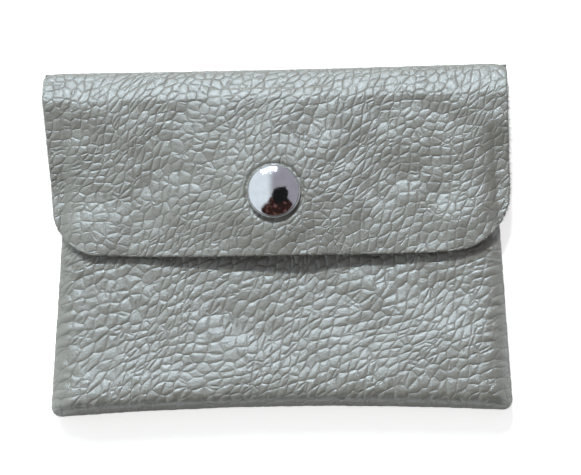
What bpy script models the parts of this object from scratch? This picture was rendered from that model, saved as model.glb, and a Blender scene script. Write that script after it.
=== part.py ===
"""A small leather purse closed by a flap with one snap, lying on its back.

X runs across the purse, Y from the bottom edge up to the fold of the flap, and Z up from the back.
The origin is the middle of the face that it lies on. Two hides, a front and a back, are sewn together
inside out along the sides and the bottom and then turned, so their edges roll inwards. The back hide
goes on past the mouth, over a soft fold, and comes down in front as the flap.

The fold bends between two creases. The leather is parted at each crease, so that the fold can turn on
the pouch and the flap on the fold.
"""

import math

import bmesh
import bpy

MM = 0.001

# The purse as a whole
PURSE_WIDTH = 110 * MM
PURSE_LENGTH = 82 * MM

# The hide, and the thinned allowance that is turned inside at the seams
LEATHER = 1.1 * MM
SKIVED = 0.7 * MM
TURN_RADIUS = 0.15 * MM
HEM_WIDTH = 2.6 * MM
LAYER_GAP = 0.3 * MM

# The pouch, which its turned seams and its filling make narrower than the fold
BOTTOM_NARROWING = 0.6 * MM
MOUTH_NARROWING = 7.6 * MM
POUCH_OFF_CENTRE = 0.2 * MM
POUCH_LEAN = 1.0 * MM
MOUTH_SETBACK = 13.5 * MM
CORNER_RADIUS = 2.8 * MM
LEAST_CORNER = 0.5 * MM
BOTTOM_DRAW_IN = 1.8 * MM
DRAW_IN_DEPTH = 30 * MM
FRONT_RISE = 2.5 * MM
FRONT_EDGE_ANGLE = math.radians(50)
BELLY_RISE = 2.4 * MM
BELLY_HEIGHT = 5 * MM
BELLY_SPREAD = 18 * MM

# The fold and the flap
FOLD_CLEARANCE = 2.2 * MM
CREASE_GAP = 0.3 * MM
FLAP_LENGTH = 44.9 * MM
FLAP_LEFT_LEAN = 2.6 * MM
FLAP_LEFT_CORNER = 10.5 * MM
FLAP_RIGHT_CORNER = 12 * MM
FLAP_LEFT_BOW = 1.6 * MM
FLAP_RIGHT_BOW = 2.6 * MM
BOW_POWER = 6
FLAP_LEFT_LIFT = 0.7 * MM
FLAP_RIGHT_LIFT = 2.0 * MM
FLAP_RAISED_RADIUS = 34 * MM

# The snap as a whole
SNAP_FROM_EDGE = 15 * MM
SNAP_X = -0.2 * MM
SEAT_MARGIN = 0.25 * MM
SEAT_FADE = 7.0 * MM
METAL_GAP = 0.1 * MM
SHEET = 0.3 * MM
HOLE_CLEARANCE = 0.2 * MM

# The cap on the face of the flap, and the hollow post inside it
CAP_RADIUS = 6.25 * MM
CAP_FLARE = 0.65 * MM
CAP_STAND = 0.4 * MM
CAP_DOME = 1.2 * MM
CAP_LIP = 0.9 * MM
CAP_POST_RADIUS = 1.8 * MM
CAP_POST_WALL = 0.5 * MM
CLENCH_REACH = 0.6 * MM

# The socket under the flap, with its split ring spring
SOCKET_RADIUS = 5.5 * MM
SOCKET_EDGE = 0.5 * MM
HEAD_ROOM = 0.5 * MM
SPRING_WIRE = 0.6 * MM
SPRING_CLEARANCE = 0.12 * MM
SPRING_SPLIT = math.radians(36)

# The stud on the front panel, and the post that holds it from inside the pouch
STUD_FLANGE_RADIUS = 5.2 * MM
STUD_HEIGHT = 2.65 * MM
STUD_SHOULDER_RADIUS = 2.5 * MM
NECK_RADIUS = 1.8 * MM
NECK_TOP = 1.35 * MM
HEAD_RADIUS = 2.1 * MM
HEAD_CLEARANCE = 0.35 * MM
HEAD_OPENING = 1.0 * MM
STUD_POST_FLANGE_RADIUS = 4.6 * MM
STUD_POST_FLANGE = 0.45 * MM
STUD_POST_CLEARANCE = 0.2 * MM
STUD_POST_WALL = 0.4 * MM
STUD_CLENCH_REACH = 0.3 * MM

# How finely the curved faces are divided
CORNER_STEPS = 2
ACROSS_STEPS = 18
UPWARD_STEPS = 13
ROLL_STEPS = 5
NECK_STEPS = 6
CREASE_STEPS = 4
FOLD_STEPS = 10
FLAP_CORNER_STEPS = 4
FLAP_ACROSS_STEPS = 18
FLAP_UPWARD_STEPS = 13
TURN_SEGMENTS = 28
CAP_SEGMENTS = 40
DOME_STEPS = 7
SPRING_STEPS = 24
OVERRUN = 2 * MM

# Places that follow from the sizes
BOTTOM_WIDTH = PURSE_WIDTH - BOTTOM_NARROWING
MOUTH_WIDTH = BOTTOM_WIDTH - MOUTH_NARROWING
BOTTOM = -PURSE_LENGTH / 2
TOP = PURSE_LENGTH / 2
MOUTH = TOP - MOUTH_SETBACK
ROLL = LEATHER + TURN_RADIUS
FRONT_ROLL_CENTRE = 2 * ROLL + LAYER_GAP + ROLL
FRONT_EDGE_INSET = ROLL * (1 - math.sin(FRONT_EDGE_ANGLE))
FRONT_EDGE_HEIGHT = FRONT_ROLL_CENTRE + ROLL * math.cos(FRONT_EDGE_ANGLE)
FRONT_SOFTNESS = FRONT_RISE / math.tan(FRONT_EDGE_ANGLE)
FOLD_RADIUS = (FRONT_EDGE_HEIGHT + FRONT_RISE + FOLD_CLEARANCE + LEATHER) / 2
FOLD_Y = TOP - FOLD_RADIUS
CREASE_ANGLE = math.radians(45)
HALF_CREASE = CREASE_GAP / FOLD_RADIUS / 2
FLAP_EDGE = TOP - FLAP_LENGTH
SNAP_Y = FLAP_EDGE + SNAP_FROM_EDGE
CAP_SKIRT = 3 * SHEET + 2 * METAL_GAP + CAP_STAND
DOME_RADIUS = CAP_RADIUS - CAP_FLARE
STUD_POST_RADIUS = NECK_RADIUS - SHEET - STUD_POST_CLEARANCE
HEAD_IN_SOCKET = STUD_HEIGHT - SHEET - LAYER_GAP / 2
SOCKET_HEIGHT = HEAD_IN_SOCKET + HEAD_ROOM + SHEET + METAL_GAP + SHEET

LEATHER_COLOUR = (0.30, 0.305, 0.28, 1)
CHROME_COLOUR = (0.80, 0.81, 0.83, 1)
NICKEL_COLOUR = (0.62, 0.61, 0.58, 1)
STEEL_COLOUR = (0.45, 0.45, 0.46, 1)


def clear_scene():
    for old in list(bpy.data.objects):
        bpy.data.objects.remove(old)


def collection(name):
    made = bpy.data.collections.new(name)
    bpy.context.scene.collection.children.link(made)
    return made


def material(name, colour, roughness, metallic):
    made = bpy.data.materials.new(name)
    made.use_nodes = True
    shader = made.node_tree.nodes["Principled BSDF"]
    shader.inputs["Base Color"].default_value = colour
    shader.inputs["Roughness"].default_value = roughness
    shader.inputs["Metallic"].default_value = metallic
    return made


def add_object(name, data, group, finish, location=(0, 0, 0), parent=None):
    """Links a new object at a place in the world, under its parent's axis if it has one."""
    made = bpy.data.objects.new(name, data)
    if finish:
        data.materials.append(finish)
    group.objects.link(made)
    made.location = location
    if parent:
        made.parent = parent
        made.matrix_parent_inverse = parent.matrix_world.inverted()
    return made


def add_axis(name, y, z, group, parent=None):
    """An empty on a crease, which turns what is parented to it."""
    made = add_object(name, None, group, None, (0, y, z), parent)
    bpy.context.view_layer.update()
    return made


def smooth(share):
    share = min(max(share, 0), 1)
    return share * share * (3 - 2 * share)


# The shape of the pouch, as heights over its plan


def pouch_half_width(y):
    """The finished pouch is a little narrower at its mouth than at its bottom."""
    share = (y - BOTTOM) / (MOUTH - BOTTOM)
    return (BOTTOM_WIDTH + (MOUTH_WIDTH - BOTTOM_WIDTH) * min(max(share, 0), 1)) / 2


def pouch_middle(y):
    """The pouch's middle line, which leans a little to one side on its way up to the mouth."""
    share = (y - BOTTOM) / (MOUTH - BOTTOM)
    return POUCH_OFF_CENTRE + POUCH_LEAN * min(max(share, 0), 1)


def bottom_draw_in(x, y):
    """How far a filled pouch pulls the middle of its bottom edge up."""
    across = 1 - (2 * (x - POUCH_OFF_CENTRE) / BOTTOM_WIDTH) ** 2
    return BOTTOM_DRAW_IN * max(across, 0) * smooth(1 - (y - BOTTOM) / DRAW_IN_DEPTH)


def soft_front(x, y):
    """Height of the front panel's grain face before the snap presses it flat."""
    beside = pouch_half_width(y) - FRONT_EDGE_INSET - abs(x - pouch_middle(y))
    below = y - BOTTOM - bottom_draw_in(x, BOTTOM) - FRONT_EDGE_INSET
    sides = 1 - math.exp(-max(beside, 0) / FRONT_SOFTNESS)
    ends = 1 - math.exp(-max(below, 0) / FRONT_SOFTNESS)
    belly = BELLY_RISE * math.exp(-(((y - BOTTOM - BELLY_HEIGHT) / BELLY_SPREAD) ** 2))
    return FRONT_EDGE_HEIGHT + (FRONT_RISE + belly) * sides * ends


def pressed_flat(height, seat, x, y):
    """Levels a face to the height of its seat under the metal of the snap."""
    reach = math.hypot(x - SNAP_X, y - SNAP_Y)
    share = smooth((CAP_RADIUS + SEAT_MARGIN + SEAT_FADE - reach) / SEAT_FADE)
    return height + (seat - height) * share


FRONT_SEAT = soft_front(SNAP_X, SNAP_Y)
STUD_SEAT = FRONT_SEAT + METAL_GAP
SOCKET_MOUTH = STUD_SEAT + SHEET + LAYER_GAP / 2
SOCKET_SEAT = SOCKET_MOUTH + SOCKET_HEIGHT
FLAP_SEAT = SOCKET_SEAT + METAL_GAP + LEATHER


def front_height(x, y):
    return pressed_flat(soft_front(x, y), FRONT_SEAT, x, y)


def draped_flap(x, y):
    """The flap leaves the fold level and then lies along the front panel."""
    share = smooth((FOLD_Y - y) / (FOLD_Y - SNAP_Y))
    lift = (FLAP_LEFT_LIFT + FLAP_RIGHT_LIFT) / 2 + (FLAP_RIGHT_LIFT - FLAP_LEFT_LIFT) * x / PURSE_WIDTH
    lying = soft_front(x, y) + lift + LEATHER
    return 2 * FOLD_RADIUS + (lying - 2 * FOLD_RADIUS) * share


def flap_height(x, y):
    """Height of the flap's grain face: the snap holds it up, and it falls away on all sides."""
    reach = math.hypot(x - SNAP_X, y - SNAP_Y) / FLAP_RAISED_RADIUS
    raised = FLAP_SEAT - draped_flap(SNAP_X, SNAP_Y)
    height = draped_flap(x, y) + raised * (1 + math.cos(math.pi * min(reach, 1))) / 2
    return pressed_flat(height, FLAP_SEAT, x, y)


# Grids of leather, as rows of plan points from the bottom up


def spread(low, high, near, far, corner_steps, steps):
    """Places from low to high, closer together in the round corners at its near and far end."""
    first = low + near
    last = high - far
    start = [low + near * k / corner_steps for k in range(corner_steps)]
    middle = [first + (last - first) * k / steps for k in range(steps + 1)]
    end = [high - far * k / corner_steps for k in range(corner_steps)] if far else []
    return start + middle + end[::-1]


def round_corner(x, y, half, low, corner):
    """Moves a point of a square corner, at the low end of a sheet, onto a quarter disc."""
    across = (abs(x) - half + corner) / corner
    down = (low + corner - y) / corner
    if across <= 0 or down <= 0:
        return x, y
    rounded_x = half - corner + corner * across * math.sqrt(1 - down * down / 2)
    rounded_y = low + corner - corner * down * math.sqrt(1 - across * across / 2)
    return math.copysign(rounded_x, x), rounded_y


def pouch_plan(inset):
    """Plan points of a pouch panel whose outline is drawn in by inset."""
    half = BOTTOM_WIDTH / 2 - inset
    low = BOTTOM + inset
    corner = max(CORNER_RADIUS - inset, LEAST_CORNER)
    rows = []
    for y in spread(low, MOUTH, corner, 0, CORNER_STEPS, UPWARD_STEPS):
        row = []
        for x in spread(-half, half, corner, corner, CORNER_STEPS, ACROSS_STEPS):
            round_x, round_y = round_corner(x, y, half, low, corner)
            taper = (pouch_half_width(round_y) - inset) / half
            place_x = round_x * taper + pouch_middle(round_y)
            row.append((place_x, round_y + bottom_draw_in(place_x, round_y)))
        rows.append(row)
    return rows


def outline_of(rows):
    """The points down the left side, along the bottom and up the right side."""
    left = [row[0] for row in reversed(rows)]
    right = [row[-1] for row in rows]
    return left + rows[0][1:-1] + right


def grid_mesh(points, faces_up):
    """A grid moved to rows of points, and its vertices down the left, along the bottom and up the right."""
    mesh = bmesh.new()
    wide, high = len(points[0]), len(points)
    bmesh.ops.create_grid(mesh, x_segments=wide - 1, y_segments=high - 1, size=1)
    ordered = sorted(mesh.verts, key=lambda v: (round(v.co.y * high), v.co.x))
    rows = [ordered[k * wide : (k + 1) * wide] for k in range(high)]
    for vertices, places in zip(rows, points):
        for vertex, place in zip(vertices, places):
            vertex.co = place
    if not faces_up:
        bmesh.ops.reverse_faces(mesh, faces=mesh.faces[:])
    return mesh, outline_of(rows)


def turn_edge(mesh, path, sections):
    """Extrudes an open edge once for each section and moves the new vertices to that section's points."""
    for points in sections:
        order = {vertex.co.to_tuple(): k for k, vertex in enumerate(path)}
        edges = [mesh.edges.get(pair) for pair in zip(path, path[1:])]
        made = bmesh.ops.extrude_edge_only(mesh, edges=edges)["geom"]
        new = [found for found in made if isinstance(found, bmesh.types.BMVert)]
        path = sorted(new, key=lambda vertex: order[vertex.co.to_tuple()])
        for vertex, place in zip(path, points):
            vertex.co = place
        yield path


def hem_stations():
    """Lengths from the face to the end of the hem, on the grain side of a fully turned edge."""
    around = [math.pi * ROLL * k / ROLL_STEPS for k in range(1, ROLL_STEPS + 1)]
    return around + [math.pi * ROLL + HEM_WIDTH]


def thinned(length, amount):
    """The leather's thickness at a station of an edge that is turned by an amount from 0 to 1."""
    share = min(length / (math.pi * ROLL), 1)
    return LEATHER + (SKIVED - LEATHER) * share * amount


def skin(name, mesh, thickness_of, group, finish, parent=None):
    """A sheet of leather with its grain face where the mesh is, thickened away from it."""
    data = bpy.data.meshes.new(name)
    mesh.normal_update()
    mesh.to_mesh(data)
    mesh.free()
    data.shade_smooth()
    made = add_object(name, data, group, finish, parent=parent)
    made.vertex_groups.new(name="thickness")
    for index, thickness in thickness_of.items():
        made.vertex_groups["thickness"].add([index], thickness / LEATHER, "REPLACE")
    solid = made.modifiers.new("leather", "SOLIDIFY")
    solid.thickness = LEATHER
    solid.offset = -1
    solid.vertex_group = "thickness"
    return made


def hemmed_panel(name, points, faces_up, places, thicknesses, group, finish):
    """A pouch panel: its face, and the edge that rolls round and runs back inside as a hem."""
    mesh, outline = grid_mesh(points, faces_up)
    thickness_of = {vertex: LEATHER for vertex in mesh.verts}
    for path, values in zip(turn_edge(mesh, outline, places), thicknesses):
        thickness_of.update(zip(path, values))
    mesh.verts.index_update()
    by_index = {vertex.index: value for vertex, value in thickness_of.items()}
    return skin(name, mesh, by_index, group, finish)


def front_panel(group, finish):
    """The pocket front, crowned by what it holds and level under the stud."""
    plan = pouch_plan(FRONT_EDGE_INSET)
    points = [[(x, y, front_height(x, y)) for x, y in row] for row in plan]
    places, thicknesses = [], []
    for length in hem_stations():
        share = min(length / (math.pi * ROLL), 1)
        angle = FRONT_EDGE_ANGLE + (math.pi - FRONT_EDGE_ANGLE) * share
        inset = ROLL * (1 - math.sin(angle)) + max(length - math.pi * ROLL, 0)
        height = FRONT_ROLL_CENTRE + ROLL * math.cos(angle)
        places.append([(x, y, height) for x, y in outline_of(pouch_plan(inset))])
        thicknesses.append([thinned(length, 1)] * len(places[-1]))
    return hemmed_panel("front_panel", points, True, places, thicknesses, group, finish)


def crease_rows(row, first_angle, last_angle, steps):
    """Copies of a row of points carried round the fold."""
    for step in range(1, steps + 1):
        angle = first_angle + (last_angle - first_angle) * step / steps
        y = FOLD_Y + FOLD_RADIUS * math.sin(angle)
        z = FOLD_RADIUS - FOLD_RADIUS * math.cos(angle)
        yield [(x, y, z) for x, _, _ in row]


def back_edge(length, amount):
    """How far out and up a station of the back's edge lies: rolled in at the pouch, flat at the fold."""
    rolled = math.pi * ROLL + HEM_WIDTH
    flat = (PURSE_WIDTH - MOUTH_WIDTH) / 2 + ROLL
    stretch = (flat + (rolled - flat) * amount * amount) / rolled
    around = math.pi * ROLL * stretch
    beyond = max(length * stretch - around, 0)
    within = length * stretch - beyond
    if amount == 0:
        return within + beyond, 0
    turned_by = math.pi * amount
    radius = around / turned_by
    angle = within / radius
    out = radius * math.sin(angle) + beyond * math.cos(turned_by)
    return out, radius * (1 - math.cos(angle)) + beyond * math.sin(turned_by)


def back_panel(group, finish):
    """The back, flat where it lies. Above the mouth its edges unroll, and it curls up to the crease."""
    points = [[(x, y, 0) for x, y in row] for row in pouch_plan(ROLL)]
    mouth_row = points[-1]
    neck = []
    for step in range(1, NECK_STEPS + 1):
        y = MOUTH + (FOLD_Y - MOUTH) * step / NECK_STEPS
        amount = 1 - smooth(step / NECK_STEPS)
        shift = pouch_middle(MOUTH) * (1 - amount)
        neck.append(([(x - shift, y, 0) for x, _, _ in mouth_row], amount))
    for row in crease_rows(neck[-1][0], 0, CREASE_ANGLE - HALF_CREASE, CREASE_STEPS):
        neck.append((row, 0))
    places, thicknesses = [], []
    for length in hem_stations():
        left, right, values = [], [], []
        for row, amount in neck:
            out, up = back_edge(length, amount)
            left.append((row[0][0] - out, row[0][1], row[0][2] + up))
            right.append((row[-1][0] + out, row[-1][1], row[-1][2] + up))
            values.append(thinned(length, amount))
        out, height = back_edge(length, 1)
        pouch_edge = [(x, y, height) for x, y in outline_of(pouch_plan(ROLL - out))]
        places.append(left[::-1] + pouch_edge + right)
        thicknesses.append(values[::-1] + [thinned(length, 1)] * len(pouch_edge) + values)
    points.extend(row for row, _ in neck)
    return hemmed_panel("back_panel", points, False, places, thicknesses, group, finish)


def flap_plan(x, y):
    """Moves a point of the square flap onto the cut one, whose two sides are a little unlike."""
    half = PURSE_WIDTH / 2
    left = x < 0
    corner = FLAP_LEFT_CORNER if left else FLAP_RIGHT_CORNER
    x, y = round_corner(x, y, half, FLAP_EDGE, corner)
    downward = (FOLD_Y - y) / (FOLD_Y - FLAP_EDGE)
    bow = FLAP_LEFT_BOW if left else FLAP_RIGHT_BOW
    lean = FLAP_LEFT_LEAN if left else 0
    return x * (1 - lean / half * downward), y + bow * (x / half) ** BOW_POWER * downward


def flap_panel(group, finish, parent):
    """The flap from the upper crease down, whose lower edge rises a little to its round corners."""
    half = PURSE_WIDTH / 2
    left, right = FLAP_LEFT_CORNER, FLAP_RIGHT_CORNER
    points = []
    for y in spread(FLAP_EDGE, FOLD_Y, max(left, right), 0, FLAP_CORNER_STEPS, FLAP_UPWARD_STEPS):
        row = []
        for x in spread(-half, half, left, right, FLAP_CORNER_STEPS, FLAP_ACROSS_STEPS):
            flap_x, flap_y = flap_plan(x, y)
            row.append((flap_x, flap_y, flap_height(flap_x, flap_y)))
        points.append(row)
    first, last = math.pi, math.pi - CREASE_ANGLE + HALF_CREASE
    points.extend(crease_rows(points[-1], first, last, CREASE_STEPS))
    mesh, _ = grid_mesh(points, True)
    return skin("flap_panel", mesh, {k: LEATHER for k in range(len(mesh.verts))}, group, finish, parent)


def flap_fold(group, finish, parent):
    """The soft fold between the two creases, a strip turned about the fold's own axis."""
    start = CREASE_ANGLE + HALF_CREASE
    data = bpy.data.meshes.new("flap_fold")
    y, z = FOLD_RADIUS * math.sin(start), -FOLD_RADIUS * math.cos(start)
    data.from_pydata([(PURSE_WIDTH / 2, y, z), (-PURSE_WIDTH / 2, y, z)], [(0, 1)], [])
    made = add_object("flap_fold", data, group, finish, (0, FOLD_Y, FOLD_RADIUS), parent)
    bend = made.modifiers.new("bend", "SCREW")
    bend.axis = "X"
    bend.angle = math.pi - 2 * start
    bend.steps = bend.render_steps = FOLD_STEPS
    bend.use_merge_vertices = False
    solid = made.modifiers.new("leather", "SOLIDIFY")
    solid.thickness = LEATHER
    solid.offset = -1
    return made


# The snap, turned about its own axis. A profile runs down its outer side and back up inside.


def turned(name, profile, segments, group, finish, height, parent=None):
    data = bpy.data.meshes.new(name)
    closed = profile[0][0] != 0
    links = [(k, k + 1) for k in range(len(profile) - 1)]
    if closed:
        links.append((len(profile) - 1, 0))
    data.from_pydata([(radius, 0, z) for radius, z in profile], links, [])
    made = add_object(name, data, group, finish, (SNAP_X, SNAP_Y, height), parent)
    spin = made.modifiers.new("turn", "SCREW")
    spin.steps = spin.render_steps = segments
    spin.use_merge_vertices = True
    spin.merge_threshold = METAL_GAP / 100
    spin.use_smooth_shade = True
    return made


def dome(radius, rise, base, steps):
    """Points of a shallow dome from its top down to its rim."""
    curve = (radius * radius + rise * rise) / (2 * rise)
    widest = math.asin(radius / curve)
    angles = [widest * k / steps for k in range(steps + 1)]
    return [(curve * math.sin(a), base + rise - curve * (1 - math.cos(a))) for a in angles]


def cap_shell(group, finish, parent):
    """The chromed dome, and a skirt that flares out to an edge rolled in under the post's flange."""
    outer = dome(DOME_RADIUS - SHEET / 2, CAP_DOME, CAP_SKIRT, DOME_STEPS)
    inner = dome(DOME_RADIUS - 1.5 * SHEET, CAP_DOME, CAP_SKIRT - SHEET, DOME_STEPS)
    rim = [
        (DOME_RADIUS, CAP_SKIRT - SHEET / 2),
        (CAP_RADIUS, SHEET),
        (CAP_RADIUS, SHEET / 2),
        (CAP_RADIUS - SHEET / 2, 0),
        (CAP_RADIUS - CAP_LIP, 0),
        (CAP_RADIUS - CAP_LIP, SHEET),
        (CAP_RADIUS - 1.5 * SHEET, SHEET),
    ]
    height = FLAP_SEAT + METAL_GAP
    return turned("cap_shell", outer + rim + inner[::-1], CAP_SEGMENTS, group, finish, height, parent)


def cap_post(group, finish, parent):
    """The cap's inner part: a flange over the rolled lip, and a hollow post clenched in the socket."""
    flange = DOME_RADIUS - SHEET
    flange_base = METAL_GAP + SHEET + METAL_GAP
    clench_top = -(LEATHER + METAL_GAP + SHEET + METAL_GAP)
    clench_foot = clench_top - SHEET
    clench_radius = CAP_POST_RADIUS + CLENCH_REACH
    profile = [
        (0, flange_base + SHEET),
        (flange - SHEET / 2, flange_base + SHEET),
        (flange, flange_base),
        (CAP_POST_RADIUS, flange_base),
        (CAP_POST_RADIUS, clench_top),
        (clench_radius, clench_top),
        (clench_radius, clench_foot),
        (CAP_POST_RADIUS - CAP_POST_WALL, clench_foot),
        (CAP_POST_RADIUS - CAP_POST_WALL, flange_base),
        (0, flange_base),
    ]
    return turned("cap_post", profile, TURN_SEGMENTS, group, finish, FLAP_SEAT, parent)


def snap_socket(group, finish, parent):
    """A drawn case: a seat plate against the leather, a wall, and a mouth plate with a spring cage."""
    wall = SOCKET_RADIUS
    mouth = HEAD_RADIUS + HEAD_CLEARANCE
    cage = mouth + SPRING_WIRE + METAL_GAP
    cage_top = SHEET + SPRING_WIRE + METAL_GAP
    hole = CAP_POST_RADIUS + HOLE_CLEARANCE
    seat = SOCKET_HEIGHT
    profile = [
        (hole, seat),
        (wall - SOCKET_EDGE, seat),
        (wall, seat - SOCKET_EDGE),
        (wall, SOCKET_EDGE),
        (wall - SOCKET_EDGE, 0),
        (mouth + SHEET / 2, 0),
        (mouth, SHEET / 2),
        (mouth, SHEET),
        (cage, SHEET),
        (cage, cage_top),
        (cage + SHEET, cage_top),
        (cage + SHEET, SHEET),
        (wall - SOCKET_EDGE - SHEET / 2, SHEET),
        (wall - SHEET, SOCKET_EDGE + SHEET / 2),
        (wall - SHEET, seat - SOCKET_EDGE - SHEET / 2),
        (wall - SOCKET_EDGE - SHEET / 2, seat - SHEET),
        (hole, seat - SHEET),
    ]
    return turned("snap_socket", profile, TURN_SEGMENTS, group, finish, SOCKET_MOUTH, parent)


def socket_spring(group, finish, parent):
    """A split ring of round wire, which grips the neck of the stud."""
    radius = NECK_RADIUS + SPRING_CLEARANCE + SPRING_WIRE / 2
    curve = bpy.data.curves.new("socket_spring", "CURVE")
    curve.dimensions = "3D"
    curve.bevel_depth = SPRING_WIRE / 2
    curve.bevel_resolution = 1
    curve.use_fill_caps = True
    ring = curve.splines.new("POLY")
    ring.points.add(SPRING_STEPS)
    for index, point in enumerate(ring.points):
        share = index / SPRING_STEPS
        angle = SPRING_SPLIT / 2 + (2 * math.pi - SPRING_SPLIT) * share
        point.co = (radius * math.cos(angle), radius * math.sin(angle), 0, 1)
    height = SOCKET_MOUTH + SHEET + METAL_GAP + SPRING_WIRE / 2
    return add_object("socket_spring", curve, group, finish, (SNAP_X, SNAP_Y, height), parent)


def snap_stud(group, finish):
    """A hollow hat: a flange on the leather, a neck for the spring, and a round head."""
    head_middle = (NECK_TOP + STUD_HEIGHT) / 2
    neck_foot = (SHEET + NECK_TOP) / 2
    bore = NECK_RADIUS - SHEET
    profile = [
        (HEAD_OPENING, STUD_HEIGHT),
        (HEAD_RADIUS - SHEET, STUD_HEIGHT),
        (HEAD_RADIUS, head_middle + SHEET / 2),
        (HEAD_RADIUS, head_middle - SHEET / 2),
        (NECK_RADIUS, NECK_TOP),
        (NECK_RADIUS, neck_foot),
        (STUD_SHOULDER_RADIUS, SHEET),
        (STUD_FLANGE_RADIUS, SHEET),
        (STUD_FLANGE_RADIUS, 0),
        (STUD_SHOULDER_RADIUS - SHEET / 2, 0),
        (bore, neck_foot - SHEET / 2),
        (bore, NECK_TOP + SHEET / 2),
        (HEAD_RADIUS - SHEET, head_middle),
        (HEAD_OPENING, STUD_HEIGHT - SHEET),
    ]
    return turned("snap_stud", profile, TURN_SEGMENTS, group, finish, STUD_SEAT)


def stud_post(group, finish):
    """A flange inside the pouch and a hollow shank, spread inside the head of the stud."""
    head_middle = (NECK_TOP + STUD_HEIGHT) / 2
    foot = -(METAL_GAP + LEATHER + METAL_GAP)
    clench = NECK_TOP + METAL_GAP
    profile = [
        (STUD_POST_RADIUS - STUD_POST_WALL, head_middle),
        (STUD_POST_RADIUS + STUD_CLENCH_REACH - SHEET / 2, head_middle),
        (STUD_POST_RADIUS, clench),
        (STUD_POST_RADIUS, foot),
        (STUD_POST_FLANGE_RADIUS - SHEET / 2, foot),
        (STUD_POST_FLANGE_RADIUS, foot - SHEET / 2),
        (STUD_POST_FLANGE_RADIUS - SHEET, foot - STUD_POST_FLANGE),
        (STUD_POST_RADIUS, foot - STUD_POST_FLANGE),
        (STUD_POST_RADIUS - STUD_POST_WALL, foot - STUD_POST_FLANGE + SHEET / 2),
    ]
    return turned("stud_post", profile, TURN_SEGMENTS, group, finish, STUD_SEAT)


def bore(target, radius, height, cutters):
    """Punches the round hole that a post goes through."""
    mesh = bmesh.new()
    bmesh.ops.create_cone(
        mesh,
        cap_ends=True,
        segments=TURN_SEGMENTS,
        radius1=radius,
        radius2=radius,
        depth=LEATHER + 2 * OVERRUN,
    )
    data = bpy.data.meshes.new(target.name + "_hole")
    mesh.to_mesh(data)
    mesh.free()
    punch = add_object(data.name, data, cutters, None, (SNAP_X, SNAP_Y, height - LEATHER / 2))
    punch.display_type = "WIRE"
    punch.hide_render = True
    cut = target.modifiers.new("hole", "BOOLEAN")
    cut.operation = "DIFFERENCE"
    cut.object = punch


def main():
    clear_scene()
    purse = collection("leather_purse")
    cutters = collection("cutters")
    hide = material("leather", LEATHER_COLOUR, 0.55, 0)
    chrome = material("chrome", CHROME_COLOUR, 0.06, 1)
    nickel = material("nickel", NICKEL_COLOUR, 0.28, 1)
    steel = material("spring_steel", STEEL_COLOUR, 0.35, 1)

    crease_y = FOLD_Y + FOLD_RADIUS * math.sin(CREASE_ANGLE)
    crease_rise = FOLD_RADIUS * math.cos(CREASE_ANGLE)
    fold_axis = add_axis("fold_axis", crease_y, FOLD_RADIUS - crease_rise, purse)
    flap_axis = add_axis("flap_axis", crease_y, FOLD_RADIUS + crease_rise, purse, fold_axis)

    back_panel(purse, hide)
    front = front_panel(purse, hide)
    flap_fold(purse, hide, fold_axis)
    flap = flap_panel(purse, hide, flap_axis)
    bore(front, STUD_POST_RADIUS + HOLE_CLEARANCE, FRONT_SEAT, cutters)
    bore(flap, CAP_POST_RADIUS + HOLE_CLEARANCE, FLAP_SEAT, cutters)

    cap_shell(purse, chrome, flap_axis)
    cap_post(purse, nickel, flap_axis)
    snap_socket(purse, nickel, flap_axis)
    socket_spring(purse, steel, flap_axis)
    snap_stud(purse, nickel)
    stud_post(purse, nickel)


main()
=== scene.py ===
"""A small grey leather purse with a snap flap, dressed for a studio picture.

Two hides are modelled at the scale of their grain: the front hide, and the back hide, which goes over the
fold and comes down as the flap. The back hide is parted in the middle of its fold, because a piece can bend
across one joint only. Lengths are in metres, and the grain is laid out in millimetres of flat leather.
"""
import math

import bpy
import numpy as np
from mathutils import Matrix, Quaternion, Vector


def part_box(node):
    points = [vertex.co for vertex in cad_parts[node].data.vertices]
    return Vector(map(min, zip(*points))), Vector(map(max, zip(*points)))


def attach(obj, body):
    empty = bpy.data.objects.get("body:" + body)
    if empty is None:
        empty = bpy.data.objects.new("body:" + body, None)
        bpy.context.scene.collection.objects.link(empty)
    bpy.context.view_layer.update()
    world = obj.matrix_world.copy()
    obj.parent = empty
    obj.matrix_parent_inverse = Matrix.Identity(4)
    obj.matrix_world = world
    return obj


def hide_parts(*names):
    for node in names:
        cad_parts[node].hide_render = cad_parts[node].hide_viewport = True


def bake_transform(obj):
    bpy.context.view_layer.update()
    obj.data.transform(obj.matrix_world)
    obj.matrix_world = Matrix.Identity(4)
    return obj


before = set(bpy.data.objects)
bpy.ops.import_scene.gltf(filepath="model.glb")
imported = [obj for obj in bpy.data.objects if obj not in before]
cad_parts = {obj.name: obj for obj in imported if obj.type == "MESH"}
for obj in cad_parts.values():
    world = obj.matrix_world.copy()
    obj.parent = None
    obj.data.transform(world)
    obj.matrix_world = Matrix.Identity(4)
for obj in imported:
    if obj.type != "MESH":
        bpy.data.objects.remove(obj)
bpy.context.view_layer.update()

MM = 0.001

# The hide and its seams, as the construction has them
LEATHER = 1.1 * MM
SKIVED = 0.7 * MM
ROLL = 1.25 * MM
HEM_WIDTH = 2.6 * MM
LAYER_GAP = 0.3 * MM

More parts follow.
